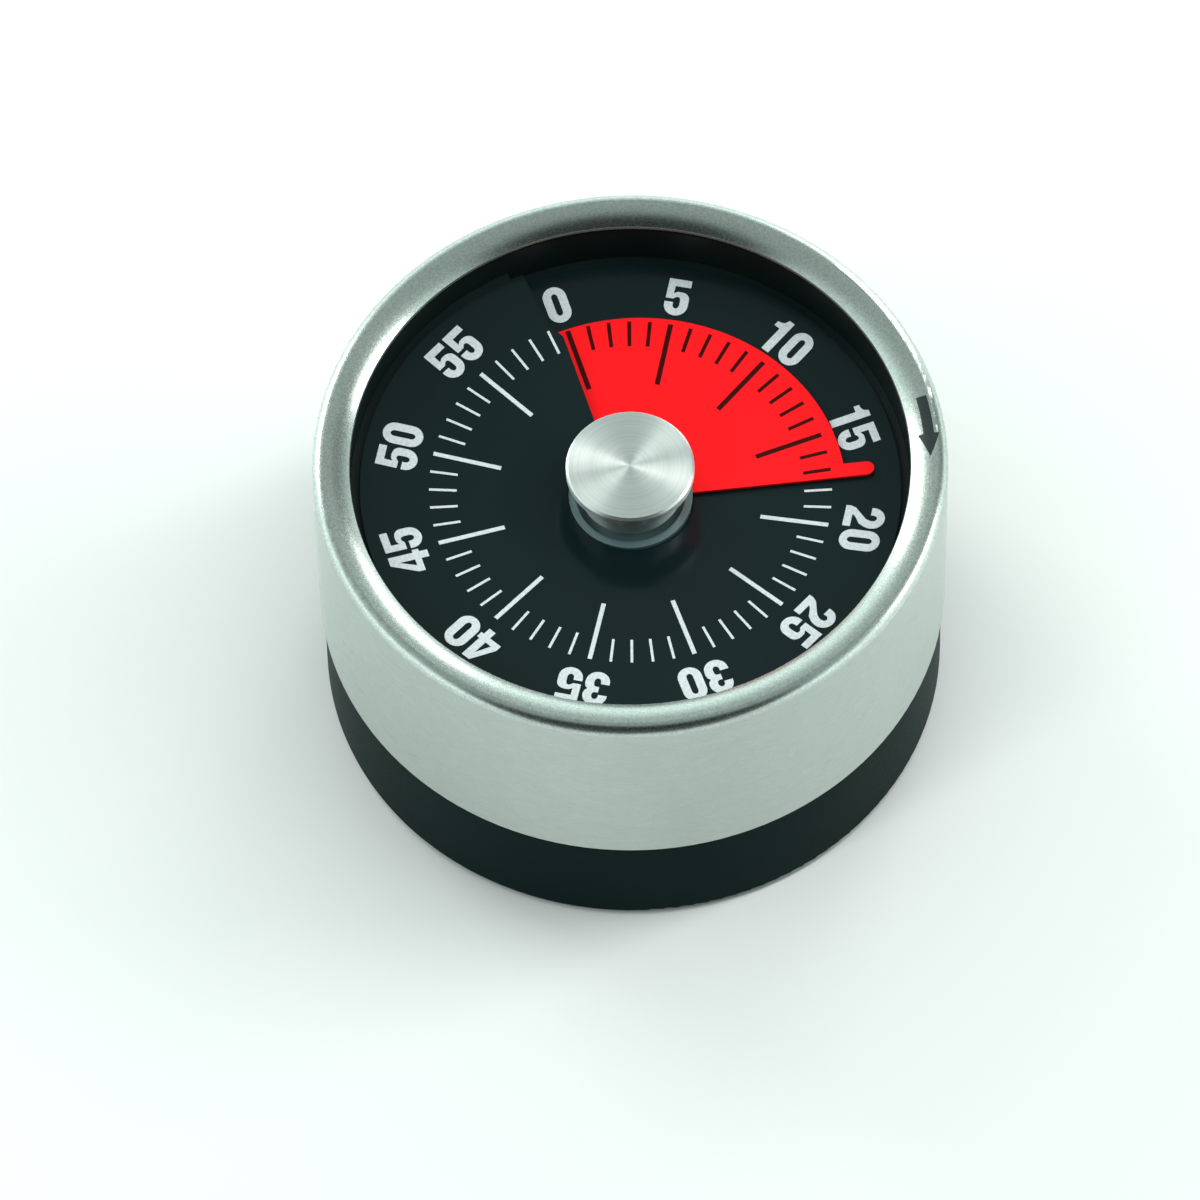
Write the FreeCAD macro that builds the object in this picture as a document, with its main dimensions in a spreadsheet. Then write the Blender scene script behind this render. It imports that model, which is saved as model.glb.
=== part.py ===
import FreeCAD, Part
import math
import os
import re
import Sketcher

# A wind-up kitchen timer: a drawn steel shell over a black base, a screw-shaped dial
# with a slit, a red screw-shaped disc that climbs out of the slit as the knob is wound,
# and a clockwork movement with a bell underneath. Millimetres, +Z up, origin at the
# centre of the foot ring's underside. Angles are in degrees, anticlockwise from +X.

SIZES = [
    # shell: one drawn sheet, rolled over at the rim
    ("shell_r", 39.0), ("sheet", 0.8), ("shell_bottom", 16.8), ("crest_r", 37.7),
    ("crest_z", 45.5), ("shoulder_r", 1.3), ("roll_r", 5.08), ("lip_r", 34.25), ("lip_round", 0.2),
    # base and foot
    ("base_r", 38.6), ("base_bottom", 0.5), ("base_step", 16.0), ("spigot_r", 38.05),
    ("spigot_top", 20.5), ("base_bore_r", 35.6), ("floor_top", 3.0), ("base_round", 0.8),
    ("foot_in_r", 30.0), ("foot_out_r", 36.0), ("foot_top", 1.5), ("foot_gap", 0.05),
    ("boss_at", 31.0), ("boss_r", 3.2), ("boss_join", 21.0), ("screw_r", 1.2),
    ("screw_head_r", 2.4), ("screw_head_len", 1.4), ("screw_top", 27.0), ("boss_angle", 60.0),
    ("magnet_r", 5.0), ("magnet_len", 2.0), ("magnet_at", 18.0),
    # dial surround: tube under the rim with a shelf for the movement
    ("tube_r", 34.6), ("tube_top", 43.3), ("shelf_top", 30.0), ("shelf_bottom", 28.4),
    ("shelf_r", 27.0), ("skirt_r", 35.0),
    # dial: a one-turn screw surface, dished, with a slit under a flap beside the 0 mark
    ("dial_in_r", 7.75), ("dial_r", 33.3), ("dial_pitch", 2.09), ("dial_slope", 0.09),
    ("scale_r", 24.8), ("scale_z", 36.9), ("film", 0.5), ("zero_angle", 107.1),
    ("slit_angle", 114.0), ("flap_turn", 20.0), ("flap_over", 12.0),
    ("flap_aside", 1.0), ("flap_bend_at", 23.4), ("flap_wide_at", 25.3), ("flap_wide", 2.15),
    ("flap_flare", 0.125), ("seat_in_r", 27.5), ("seat_thick", 1.2), ("seat_gap", 0.05),
    ("seat_leg_r", 1.5), ("seat_leg_at", 32.2),
    # red disc and its hub
    ("red_r", 25.05), ("red_lead_r", 26.5), ("red_taper", 105.0), ("red_lift", 0.6),
    ("red_film", 0.35), ("red_turn", 358.0), ("red_bore_gap", 0.02),
    ("rest_turn", 105.0), ("tab_r", 30.1), ("tab_width", 1.9),
    ("hub_r", 7.65), ("hub_cup_r", 6.75), ("hub_bottom", 34.2), ("hub_web", 0.8),
    ("hub_top", 36.8), ("fit_gap", 0.05),
    # knob
    ("knob_r", 7.9), ("knob_face_r", 7.6), ("knob_top", 43.7), ("knob_edge", 1.3),
    ("knob_chamfer", 0.25), ("waist_r", 6.3), ("waist_z", 41.4), ("knob_bottom", 38.0),
    ("knob_bore_top", 41.0),
    # movement plates and pillars
    ("plate", 1.2), ("front_plate_r", 30.0), ("back_plate_r", 27.2), ("back_plate_z", 15.0),
    ("pillar_r", 1.6), ("pillar_at", 24.5), ("last_pillar_x", 2.0), ("last_pillar_y", -25.2),
    ("last_pillar_r", 1.4), ("nut_r", 2.2), ("nut_len", 1.2), ("plate_screw_at", 28.5),
    # main arbor
    ("arbor_r", 1.5), ("arbor_pivot_r", 1.0), ("arbor_flat", 1.1), ("arbor_hub_r", 3.0),
    ("spring_bottom", 17.2), ("spring_top", 21.2), ("spring_in_r", 3.35), ("spring_out_r", 9.6),
    ("spring_strip", 0.25), ("spring_turns", 6.0), ("spring_post_r", 0.8),
    ("ratchet_r", 5.2), ("ratchet_root_r", 4.3), ("ratchet_teeth", 12), ("ratchet_bottom", 28.5),
    ("ratchet_thick", 0.7), ("cam_r", 5.0), ("cam_lobe_r", 5.5), ("cam_bottom", 22.2),
    ("cam_thick", 1.0),
    # gear train: wheel teeth, pitch radii, lantern pinions of eight pins
    ("great_teeth", 48), ("great_pitch_r", 15.4), ("great_bottom", 27.2), ("great_thick", 1.0),
    ("second_teeth", 40), ("second_pitch_r", 10.8), ("second_bottom", 24.6),
    ("third_teeth", 32), ("third_pitch_r", 8.0), ("third_bottom", 20.4), ("wheel_thick", 0.6),
    ("pinion_pins", 8), ("second_angle", 210.0), ("third_angle", 310.0), ("escape_angle", 8.0),
    ("train_arbor_r", 0.6), ("tooth_clear", 0.06),
    # escapement
    ("escape_teeth", 20), ("escape_r", 6.0), ("escape_root_r", 4.9), ("escape_bottom", 23.0),
    ("verge_angle", 10.0), ("pallet_at", 6.35), ("pallet_pin_r", 0.25), ("balance_r", 5.0),
    ("balance_bottom", 18.0),
    # bell and hammer
    ("bell_r", 22.0), ("bell_wall", 1.2), ("bell_bottom", 4.5), ("bell_top", 12.5),
    ("bell_round", 3.0), ("bell_post_r", 2.0), ("hammer_x", 15.0), ("hammer_y", 9.3),
    ("head_r", 1.6), ("head_bottom", 8.6), ("head_len", 3.0), ("head_x", 11.1),
    ("head_y", 14.2), ("tail_x", -0.5), ("tail_y", 6.7),
]

doc = FreeCAD.newDocument("kitchen_timer")
sheet = doc.addObject("Spreadsheet::Sheet", "Sizes")
for row, (alias, value) in enumerate(SIZES, start=1):
    sheet.set("A%d" % row, alias)
    sheet.set("B%d" % row, str(value))
    sheet.setAlias("B%d" % row, alias)
doc.recompute()

ALIASES = {alias for alias, value in SIZES}
NODES = []
UP = FreeCAD.Vector(0, 0, 1)


def bound(text):
    """The expression with each alias written as a cell of the sheet."""
    return re.sub(r"[a-z_]\w*", lambda m: "Sizes." + m[0] if m[0] in ALIASES else m[0], str(text))


def size(text):
    """The number that an expression of aliases stands for now."""
    value = sheet.evalExpression(bound(text))
    return float(getattr(value, "Value", value))


def node(obj, label):
    """Names an object as one of the timer's pieces."""
    obj.Label = label
    NODES.append(obj)
    return obj


def place(obj, x="0", y="0", z="0"):
    """Binds an object's position to the sheet."""
    for axis, text in (("x", x), ("y", y), ("z", z)):
        obj.setExpression("Placement.Base." + axis, bound(text))
    return obj


def turn(obj, degrees):
    """Turns an object about its own upright axis."""
    obj.Placement.Rotation = FreeCAD.Rotation(UP, degrees)
    return obj


def cylinder(name, radius, height, x="0", y="0", z="0"):
    """An upright cylinder."""
    obj = doc.addObject("Part::Cylinder", name)
    obj.setExpression("Radius", bound(radius))
    obj.setExpression("Height", bound(height))
    return place(obj, x, y, z)


def block(name, length, width, height, x="0", y="0", z="0"):
    """A box from its lowest corner."""
    obj = doc.addObject("Part::Box", name)
    for side, text in (("Length", length), ("Width", width), ("Height", height)):
        obj.setExpression(side, bound(text))
    return place(obj, x, y, z)


def fused(name, parts):
    """Several objects joined into one."""
    obj = doc.addObject("Part::MultiFuse", name)
    obj.Shapes = parts
    return obj


def grouped(name, parts):
    """Several separate solids kept in one piece."""
    obj = doc.addObject("Part::Compound", name)
    obj.Links = parts
    return obj


def cut(name, base, tool):
    """One object with another cut from it."""
    obj = doc.addObject("Part::Cut", name)
    obj.Base = base
    obj.Tool = tool
    return obj


def solid(name, shape):
    """A piece whose form no primitive or sketch gives."""
    obj = doc.addObject("Part::Feature", name)
    obj.Shape = shape
    return obj


def around(radius, degrees):
    """The x and y expressions of a point at a radius and an angle."""
    return "%s * cos(%s)" % (radius, degrees), "%s * sin(%s)" % (radius, degrees)


def lathe(name, outline):
    """A body turned about +Z. Each corner is (radius, height); an arc's end adds the arc's
    centre and the coordinate, x or y, that fixes the end on the arc."""
    body = doc.addObject("PartDesign::Body", name + "_body")
    sketch = body.newObject("Sketcher::SketchObject", name + "_outline")
    planes = {feature.Role: feature for feature in body.Origin.OriginFeatures}
    sketch.AttachmentSupport = (planes["XZ_Plane"], [""])
    sketch.MapMode = "FlatFace"
    points = [FreeCAD.Vector(size(step[0]), size(step[1]), 0) for step in outline]

    def hold(kind, geo, which, text):
        value = size(text)
        if abs(value) < 1e-9:
            axis = -2 if kind == "DistanceX" else -1
            sketch.addConstraint(Sketcher.Constraint("PointOnObject", geo, which, axis))
            return
        index = sketch.addConstraint(Sketcher.Constraint(kind, -1, 1, geo, which, value))
        sketch.setExpression("Constraints[%d]" % index, bound(text))

    ends = []
    for i, step in enumerate(outline):
        start, end = points[i - 1], points[i]
        if len(step) == 2:
            geo = sketch.addGeometry(Part.LineSegment(start, end), False)
            ends.append((geo, 1, 2))
            continue
        centre = FreeCAD.Vector(size(step[2]), size(step[3]), 0)
        first = math.atan2(start.y - centre.y, start.x - centre.x)
        last = math.atan2(end.y - centre.y, end.x - centre.x)
        forward = (last - first) % (2 * math.pi) < math.pi
        span = (first, last) if forward else (last, first)
        circle = Part.Circle(centre, UP, start.distanceToPoint(centre))
        geo = sketch.addGeometry(Part.ArcOfCircle(circle, *span), False)
        ends.append((geo, 1, 2) if forward else (geo, 2, 1))
    for i, (geo, first, last) in enumerate(ends):
        following = ends[(i + 1) % len(ends)]
        sketch.addConstraint(Sketcher.Constraint("Coincident", geo, last, following[0], following[1]))
    for (geo, first, last), step in zip(ends, outline):
        fixed = step[4] if len(step) == 5 else "xy"
        if "x" in fixed:
            hold("DistanceX", geo, last, step[0])
        if "y" in fixed:
            hold("DistanceY", geo, last, step[1])
        if len(step) == 5:
            hold("DistanceX", geo, 3, step[2])
            hold("DistanceY", geo, 3, step[3])
    turned = body.newObject("PartDesign::Revolution", name + "_turned")
    turned.Profile = sketch
    turned.ReferenceAxis = (sketch, ["V_Axis"])
    turned.Angle = 360
    doc.recompute()
    return body


def ring(name, inner, outer, bottom, top):
    """A flat ring."""
    return lathe(name, [(inner, bottom), (outer, bottom), (outer, top), (inner, top)])


def spin(shape, x, y, degrees):
    """A copy of a shape turned about the upright line through x, y."""
    copy = shape.copy()
    copy.rotate(FreeCAD.Vector(x, y, 0), UP, degrees)
    return copy


# ---------------------------------------------------------------- shell, base and surround

def make_shell():
    roll_z = "(crest_z - roll_r)"
    lip_z = "(%s + sqrt(roll_r^2 - (crest_r - lip_r)^2))" % roll_z
    shoulder_z = "(crest_z - shoulder_r)"
    edge_r = "(lip_r + sheet * (crest_r - lip_r) / roll_r)"
    edge_z = "(%s - sheet * (%s - %s) / roll_r)" % (lip_z, lip_z, roll_z)
    bevel_r = "(lip_r + lip_round * (crest_r - lip_r) / roll_r)"
    bevel_z = "(%s - lip_round * (%s - %s) / roll_r)" % (lip_z, lip_z, roll_z)
    start_r = "(lip_r + lip_round)"
    start_z = "(%s + sqrt(roll_r^2 - (crest_r - %s)^2))" % (roll_z, start_r)
    body = lathe("shell", [
        ("shell_r - sheet", "shell_bottom"),
        ("shell_r", "shell_bottom"),
        ("shell_r", shoulder_z),
        ("crest_r", "crest_z", "crest_r", shoulder_z, "x"),
        (start_r, start_z, "crest_r", roll_z, "x"),
        (bevel_r, bevel_z),
        (edge_r, edge_z),
        ("crest_r", "crest_z - sheet", "crest_r", roll_z, "x"),
        ("shell_r - sheet", shoulder_z, "crest_r", shoulder_z, "y"),
    ])
    node(body, "steel_shell")


def boss_angles():
    return ["boss_angle + %d" % step for step in (0, 120, 240)]


def make_base():
    cup = lathe("base", [
        ("0", "base_bottom"),
        ("foot_in_r - foot_gap", "base_bottom"),
        ("foot_in_r - foot_gap", "foot_top"),
        ("foot_out_r + foot_gap", "foot_top"),
        ("foot_out_r + foot_gap", "base_bottom"),
        ("base_r - base_round", "base_bottom"),
        ("base_r", "base_bottom + base_round", "base_r - base_round", "base_bottom + base_round", "y"),
        ("base_r", "base_step"),
        ("spigot_r", "base_step"),
        ("spigot_r", "spigot_top"),
        ("base_bore_r", "spigot_top"),
        ("base_bore_r", "floor_top"),
        ("0", "floor_top"),
    ])
    bosses, holes = [cup], []
    for i, angle in enumerate(boss_angles()):
        x, y = around("boss_at", angle)
        bosses.append(cylinder("base_boss_%d" % i, "boss_r", "boss_join - floor_top", x, y, "floor_top"))
        holes.append(cylinder("base_hole_%d" % i, "screw_r + fit_gap", "boss_join", x, y, "0"))
        holes.append(cylinder("base_sink_%d" % i, "screw_head_r + fit_gap", "floor_top", x, y, "0"))
        x, y = around("magnet_at", angle)
        depth = "magnet_len + fit_gap"
        holes.append(cylinder("magnet_pocket_%d" % i, "magnet_r + fit_gap", depth, x, y, "base_bottom"))
    tools = fused("base_cuts", holes)
    return node(cut("base_final", fused("base_solid", bosses), tools), "base_housing")


def make_foot_and_fasteners():
    node(ring("foot", "foot_in_r", "foot_out_r", "0", "foot_top"), "foot_ring")
    screws, magnets = [], []
    for i, angle in enumerate(boss_angles()):
        x, y = around("boss_at", angle)
        head_z = "floor_top - screw_head_len"
        head = cylinder("base_screw_head_%d" % i, "screw_head_r", "screw_head_len", x, y, head_z)
        shank = cylinder("base_screw_shank_%d" % i, "screw_r", "screw_top - floor_top", x, y, "floor_top")
        screws.append(fused("base_screw_%d" % i, [head, shank]))
        x, y = around("magnet_at", angle)
        magnets.append(cylinder("magnet_%d" % i, "magnet_r", "magnet_len", x, y, "base_bottom"))
    node(grouped("base_screw_set", screws), "base_screws")
    node(grouped("magnet_set", magnets), "back_magnets")


def make_surround():
    tube = lathe("surround", [
        ("skirt_r", "boss_join"),
        ("spigot_r", "boss_join"),
        ("spigot_r", "tube_top"),
        ("tube_r", "tube_top"),
        ("tube_r", "shelf_top"),
        ("shelf_r", "shelf_top"),
        ("shelf_r", "shelf_bottom"),
        ("skirt_r", "shelf_bottom"),
    ])
    bosses, holes = [tube], []
    for i, angle in enumerate(boss_angles()):
        x, y = around("boss_at", angle)
        height = "shelf_bottom - boss_join + 0.5"
        bosses.append(cylinder("shelf_boss_%d" % i, "boss_r", height, x, y, "boss_join"))
        holes.append(cylinder("shelf_hole_%d" % i, "screw_r", "screw_top - boss_join", x, y, "boss_join"))
    for i, (x, y) in enumerate(plate_screw_spots()):
        hole = cylinder("shelf_tap_%d" % i, "screw_r", "shelf_top - shelf_bottom", x, y, "shelf_bottom")
        holes.append(hole)
    tools = fused("surround_cuts", holes)
    node(cut("surround_final", fused("surround_solid", bosses), tools), "dial_surround")


def plate_screw_spots():
    return [around("plate_screw_at", str(angle)) for angle in (0, 120, 225)]


# ---------------------------------------------------------------- dial and red disc

def screw_sheet(inner, outer, top_at_scale, thickness, start, degrees):
    """A dished one-turn screw surface, rising clockwise from its start angle, made solid by
    dropping it by its thickness. top_at_scale is its height at scale_r at the start angle."""
    pitch, slope = size("dial_pitch"), size("dial_slope")
    count = 8
    sector = degrees / count
    sectors = []
    for i in range(count):
        edges = []
        for radius in (inner, outer):
            edge = Part.makeHelix(pitch, pitch * sector / 360, radius, 0, True).Edges[0]
            edge.rotate(FreeCAD.Vector(0, 0, 0), UP, start - sector * i)
            rise = pitch * sector * i / 360 + slope * (radius - size("scale_r"))
            edge.translate(UP * (top_at_scale + rise))
            edges.append(edge)
        sectors.append(Part.makeRuledSurface(edges[0], edges[1]).extrude(UP * -thickness))
    return sectors[0].fuse(sectors[1:])


def slit_height():
    """Height of the dial's top face at scale_r at the slit, just before the 0 mark."""
    return size("scale_z - dial_pitch * (slit_angle - zero_angle) / 360")


def flap_cut(low, tall):
    """What is cut off the dial's upper end. Its edge runs beside the 0 mark and steps away from
    the 0 figure."""
    aside, wide = size("flap_aside"), size("flap_wide")
    wide_at, far = size("flap_wide_at"), size("dial_r + 4")
    flared = wide + size("flap_flare") * (far - wide_at)
    edge = [(0, aside), (size("flap_bend_at"), aside), (wide_at, wide), (far, flared)]
    points = [FreeCAD.Vector(x, y, low) for x, y in edge + [(far, -far / 2), (0, -far / 2)]]
    prism = Part.Face(Part.makePolygon(points + points[:1])).extrude(UP * tall)
    return spin(prism, 0, 0, size("zero_angle"))


def make_dial():
    """One turn of film. Its upper end is a flap that lies over its lower end, the red disc between."""
    height, slit = slit_height(), size("slit_angle")
    flap = size("flap_turn")
    inner, outer, thick = size("dial_in_r"), size("dial_r"), size("film")
    lower = screw_sheet(inner, outer, height, thick, slit, 360 - flap)
    flap_height = height + size("dial_pitch") * (360 - flap) / 360
    upper = screw_sheet(inner, outer, flap_height, thick, slit + flap, flap + size("flap_over"))
    film = lower.fuse(upper.cut(flap_cut(size("hub_bottom"), size("dial_r")))).removeSplitter()
    node(solid("dial_film", film), "dial")
    seat_top = height - size("film + seat_gap")
    seat = screw_sheet(size("seat_in_r"), size("tube_r - fit_gap"), seat_top, size("seat_thick"), slit, 359)
    foot = size("shelf_top")
    legs = []
    for angle in (20, 140, 260):
        at = FreeCAD.Rotation(UP, angle).multVec(FreeCAD.Vector(size("seat_leg_at"), 0, 0))
        turned = (slit - angle) % 360
        under = seat_top + size("dial_pitch") * turned / 360 - size("seat_thick") / 2
        under += size("dial_slope * (seat_leg_at - scale_r)")
        legs.append(Part.makeCylinder(size("seat_leg_r"), under - foot, at + UP * foot))
    node(solid("dial_seat_ring", seat.fuse(legs).removeSplitter()), "dial_seat")


def red_outline(low, tall):
    """The disc seen from above, its leading edge along X: wider toward that edge than elsewhere."""
    small, large, taper = size("red_r"), size("red_lead_r"), size("red_taper")
    steps = 8
    points = []
    for i in range(steps + 1):
        radius = large + (small - large) * i / steps
        turn = FreeCAD.Rotation(UP, taper * i / steps)
        points.append(turn.multVec(FreeCAD.Vector(radius, 0, low)))
    widening = Part.BSplineCurve()
    widening.interpolate(points)
    across = FreeCAD.Rotation(UP, 180 + taper / 2).multVec(FreeCAD.Vector(small, 0, low))
    root = FreeCAD.Vector(small, 0, low)
    edges = [widening.toShape(), Part.Arc(points[-1], across, root).toShape(), Part.makeLine(root, points[0])]
    return Part.Face(Part.Wire(edges)).extrude(UP * tall)


def make_red_disc():
    """The disc's leading edge is rest_turn clockwise of the 0 mark, with the pointer tab on it."""
    lead = size("zero_angle - rest_turn")
    start = lead + size("red_turn")
    rise = size("dial_pitch") * (size("zero_angle") - start) / 360
    height = size("scale_z + red_lift") + rise
    bore = size("hub_r + red_bore_gap")
    sheet_solid = screw_sheet(bore, size("tab_r + 1"), height, size("red_film"), start, size("red_turn"))
    low, tall = size("hub_bottom - 4"), 14
    half = size("tab_width / 2")
    tab = Part.makeBox(size("tab_r") - half, 2 * half, tall, FreeCAD.Vector(0, 0, low))
    tip = Part.makeCylinder(half, tall, FreeCAD.Vector(size("tab_r") - half, half, low))
    disc, tab, tip = [spin(part, 0, 0, lead) for part in (red_outline(low, tall), tab, tip)]
    node(solid("red_film", sheet_solid.common(disc.fuse([tab, tip]))), "red_disc")


def make_hub():
    cup = lathe("hub", [
        ("0", "hub_bottom"),
        ("hub_r", "hub_bottom"),
        ("hub_r", "hub_top"),
        ("hub_cup_r", "hub_top"),
        ("hub_cup_r", "hub_bottom + hub_web"),
        ("0", "hub_bottom + hub_web"),
    ])
    bore = cylinder("hub_bore", "arbor_r + fit_gap", "hub_web", "0", "0", "hub_bottom")
    flat_at = "arbor_flat + fit_gap"
    side = block("hub_flat", "arbor_r", "4 * arbor_r", "hub_web", flat_at, "-2 * arbor_r", "hub_bottom")
    return node(cut("hub_final", cup, cut("hub_keyed_bore", bore, side)), "disc_hub")


# ---------------------------------------------------------------- knob and main arbor

def make_knob():
    body = lathe("knob", [
        ("0", "knob_top"),
        ("knob_face_r", "knob_top"),
        ("knob_r", "knob_top - knob_chamfer"),
        ("knob_r", "knob_top - knob_edge"),
        ("waist_r", "waist_z"),
        ("waist_r", "knob_bottom"),
        ("arbor_r", "knob_bottom"),
        ("arbor_r", "knob_bore_top"),
        ("0", "knob_bore_top"),
    ])
    node(body, "knob")


def make_main_arbor():
    stem = lathe("main_arbor", [
        ("0", "back_plate_z + 0.3"),
        ("arbor_pivot_r", "back_plate_z + 0.3"),
        ("arbor_pivot_r", "back_plate_z + plate + 0.2"),
        ("arbor_hub_r", "back_plate_z + plate + 0.2"),
        ("arbor_hub_r", "spring_top"),
        ("arbor_r", "spring_top"),
        ("arbor_r", "knob_bore_top"),
        ("0", "knob_bore_top"),
    ])
    length = "knob_bottom - shelf_top - plate - 0.6"
    low = "knob_bottom - (%s)" % length
    side = block("arbor_side", "arbor_r", "4 * arbor_r", length, "arbor_flat", "-2 * arbor_r", low)
    node(cut("arbor_final", stem, side), "main_arbor")


def toothed(points, hole_r, thickness):
    """A flat piece from a closed outline with a round hole at the origin."""
    wire = Part.makePolygon(points + points[:1])
    face = Part.Face([wire])
    plate = face.extrude(UP * thickness)
    return plate.cut(Part.makeCylinder(hole_r, thickness)) if hole_r else plate


def polar(radius, degrees):
    return FreeCAD.Rotation(UP, degrees).multVec(FreeCAD.Vector(radius, 0, 0))


def make_ratchet():
    count = int(size("ratchet_teeth"))
    step = 360.0 / count
    points = []
    for i in range(count):
        points.append(polar(size("ratchet_r"), i * step))
        points.append(polar(size("ratchet_root_r"), i * step + 0.12 * step))
    wheel = toothed(points, size("arbor_r"), size("ratchet_thick"))
    obj = node(solid("ratchet", wheel), "ratchet_wheel")
    place(obj, z="ratchet_bottom")


def make_cam():
    """A disc with a low lobe that trips the hammer as the arbor comes back to zero."""
    disc = Part.makeCylinder(size("cam_r"), size("cam_thick"))
    lobe_r = size("cam_lobe_r") - size("cam_r") + 0.6
    lobe = Part.makeCylinder(lobe_r, size("cam_thick"), FreeCAD.Vector(size("cam_lobe_r") - lobe_r, 0, 0))
    cam = disc.fuse(lobe).cut(Part.makeCylinder(size("arbor_r"), size("cam_thick")))
    obj = node(solid("cam", spin(cam, 0, 0, 90 - size("rest_turn"))), "strike_cam")
    place(obj, z="cam_bottom")


def make_mainspring():
    """A flat spiral strip round the arbor's hub, hooked to a post on the back plate."""
    turns, strip = size("spring_turns"), size("spring_strip")
    inner, outer = size("spring_in_r"), size("spring_out_r") - strip
    count = int(turns * 12)
    sides = []
    for offset in (0.0, strip):
        points = [
            polar(inner + offset + (outer - inner) * i / count, 60 + 360 * turns * i / count)
            for i in range(count + 1)
        ]
        curve = Part.BSplineCurve()
        curve.interpolate(points)
        sides.append((curve.toShape(), points))
    caps = [Part.makeLine(sides[0][1][k], sides[1][1][k]) for k in (0, -1)]
    wire = Part.Wire(Part.__sortEdges__([sides[0][0], caps[1], sides[1][0], caps[0]]))
    strip_solid = Part.Face(wire).extrude(UP * size("spring_top - spring_bottom"))
    obj = node(solid("spring_strip_coil", strip_solid), "mainspring")
    place(obj, z="spring_bottom")
    x, y = around("(spring_out_r + spring_post_r)", "60")
    height = "spring_top - back_plate_z - plate"
    node(cylinder("spring_anchor", "spring_post_r", height, x, y, "back_plate_z + plate"), "spring_post")


# ---------------------------------------------------------------- gear train

def wheel_blank(teeth, pitch_r, pinion_r, pin_r, thickness, bore_r):
    """A wheel whose flanks follow the pins of a lantern pinion: each flank is the epicycloid
    of the pin's centre, moved in by the pin's radius, and each root is round."""
    reach = pin_r + size("tooth_clear")
    tip_r = pitch_r + 0.4 * pinion_r
    both = pitch_r + pinion_r
    last = math.acos((both**2 + pinion_r**2 - tip_r**2) / (2 * both * pinion_r))

    def flank(roll):
        swing = roll * pinion_r / pitch_r
        pin = FreeCAD.Vector(
            both * math.cos(swing) - pinion_r * math.cos(swing + roll),
            both * math.sin(swing) - pinion_r * math.sin(swing + roll), 0)
        if roll == 0:
            return FreeCAD.Vector(pitch_r, reach, 0)
        contact = FreeCAD.Vector(pitch_r * math.cos(swing), pitch_r * math.sin(swing), 0)
        return pin + (contact - pin).normalize() * reach

    rise = [flank(last * k / 2) for k in range(3)]
    fall = [FreeCAD.Vector(p.x, -p.y, 0) for p in reversed(rise)]
    step = 360.0 / teeth
    edges = []
    for i in range(teeth):
        here = FreeCAD.Rotation(UP, i * step)
        there = FreeCAD.Rotation(UP, (i + 1) * step)
        up = [here.multVec(p) for p in rise]
        down = [there.multVec(p) for p in fall]
        low = [here.multVec(p) for p in (fall[-1], FreeCAD.Vector(pitch_r - reach, 0, 0), rise[0])]
        edges.append(Part.Arc(*low).toShape())
        edges.append(Part.Arc(*up).toShape())
        edges.append(Part.makeLine(up[-1], down[0]))
        edges.append(Part.Arc(*down).toShape())
    wheel = Part.Face(Part.Wire(edges)).extrude(UP * thickness)
    return wheel.cut(Part.makeCylinder(bore_r, thickness))


def windows(wheel, count, hole_r, at_r, thickness):
    """The wheel with a ring of round holes that lighten it."""
    holes = [Part.makeCylinder(hole_r, thickness, polar(at_r, 360.0 * i / count)) for i in range(count)]
    return wheel.cut(holes)


def lantern(pitch_r, pin_r, height, collar):
    """Eight pins between two collars, on an arbor hole."""
    rim = pitch_r + pin_r + 0.15
    hole = Part.makeCylinder(size("train_arbor_r"), height)
    parts = []
    for bottom in (0, height - collar):
        parts.append(Part.makeCylinder(rim, collar, UP * bottom))
    pins = int(size("pinion_pins"))
    for i in range(pins):
        parts.append(Part.makeCylinder(pin_r, height, polar(pitch_r, 360.0 * i / pins)))
    return parts[0].fuse(parts[1:]).cut(hole).removeSplitter()


def train():
    """Where each arbor stands, and the angle from each wheel to the pinion that it drives."""
    spots = {"great": FreeCAD.Vector(0, 0, 0)}
    chain = (("great", "second"), ("second", "third"), ("third", "escape"))
    angles = {}
    for driver, driven in chain:
        angle = size(driven + "_angle")
        pitch_r = size(driver + "_pitch_r")
        pinion_r = pitch_r * size("pinion_pins") / size(driver + "_teeth")
        spots[driven] = spots[driver] + polar(pitch_r + pinion_r, angle)
        angles[driver] = (angle, pitch_r, pinion_r)
    return spots, angles


PIN_SHARE = 0.175   # a lantern pin's radius, as a share of the pinion's pitch radius
SPOTS, MESHES = train()


def moved(shape, at, height, degrees=0.0):
    """The shape turned about its own axis and set down at an arbor."""
    shape.rotate(FreeCAD.Vector(0, 0, 0), UP, degrees)
    shape.translate(at + UP * height)
    return shape


def make_great_wheel():
    angle, pitch_r, pinion_r = MESHES["great"]
    thick = size("great_thick")
    teeth, bore = int(size("great_teeth")), size("arbor_r + fit_gap")
    wheel = wheel_blank(teeth, pitch_r, pinion_r, PIN_SHARE * pinion_r, thick, bore)
    wheel = windows(wheel, 5, 2.6, 11.0, thick)
    node(solid("great", moved(wheel, SPOTS["great"], size("great_bottom"), angle)), "great_wheel")


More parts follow.
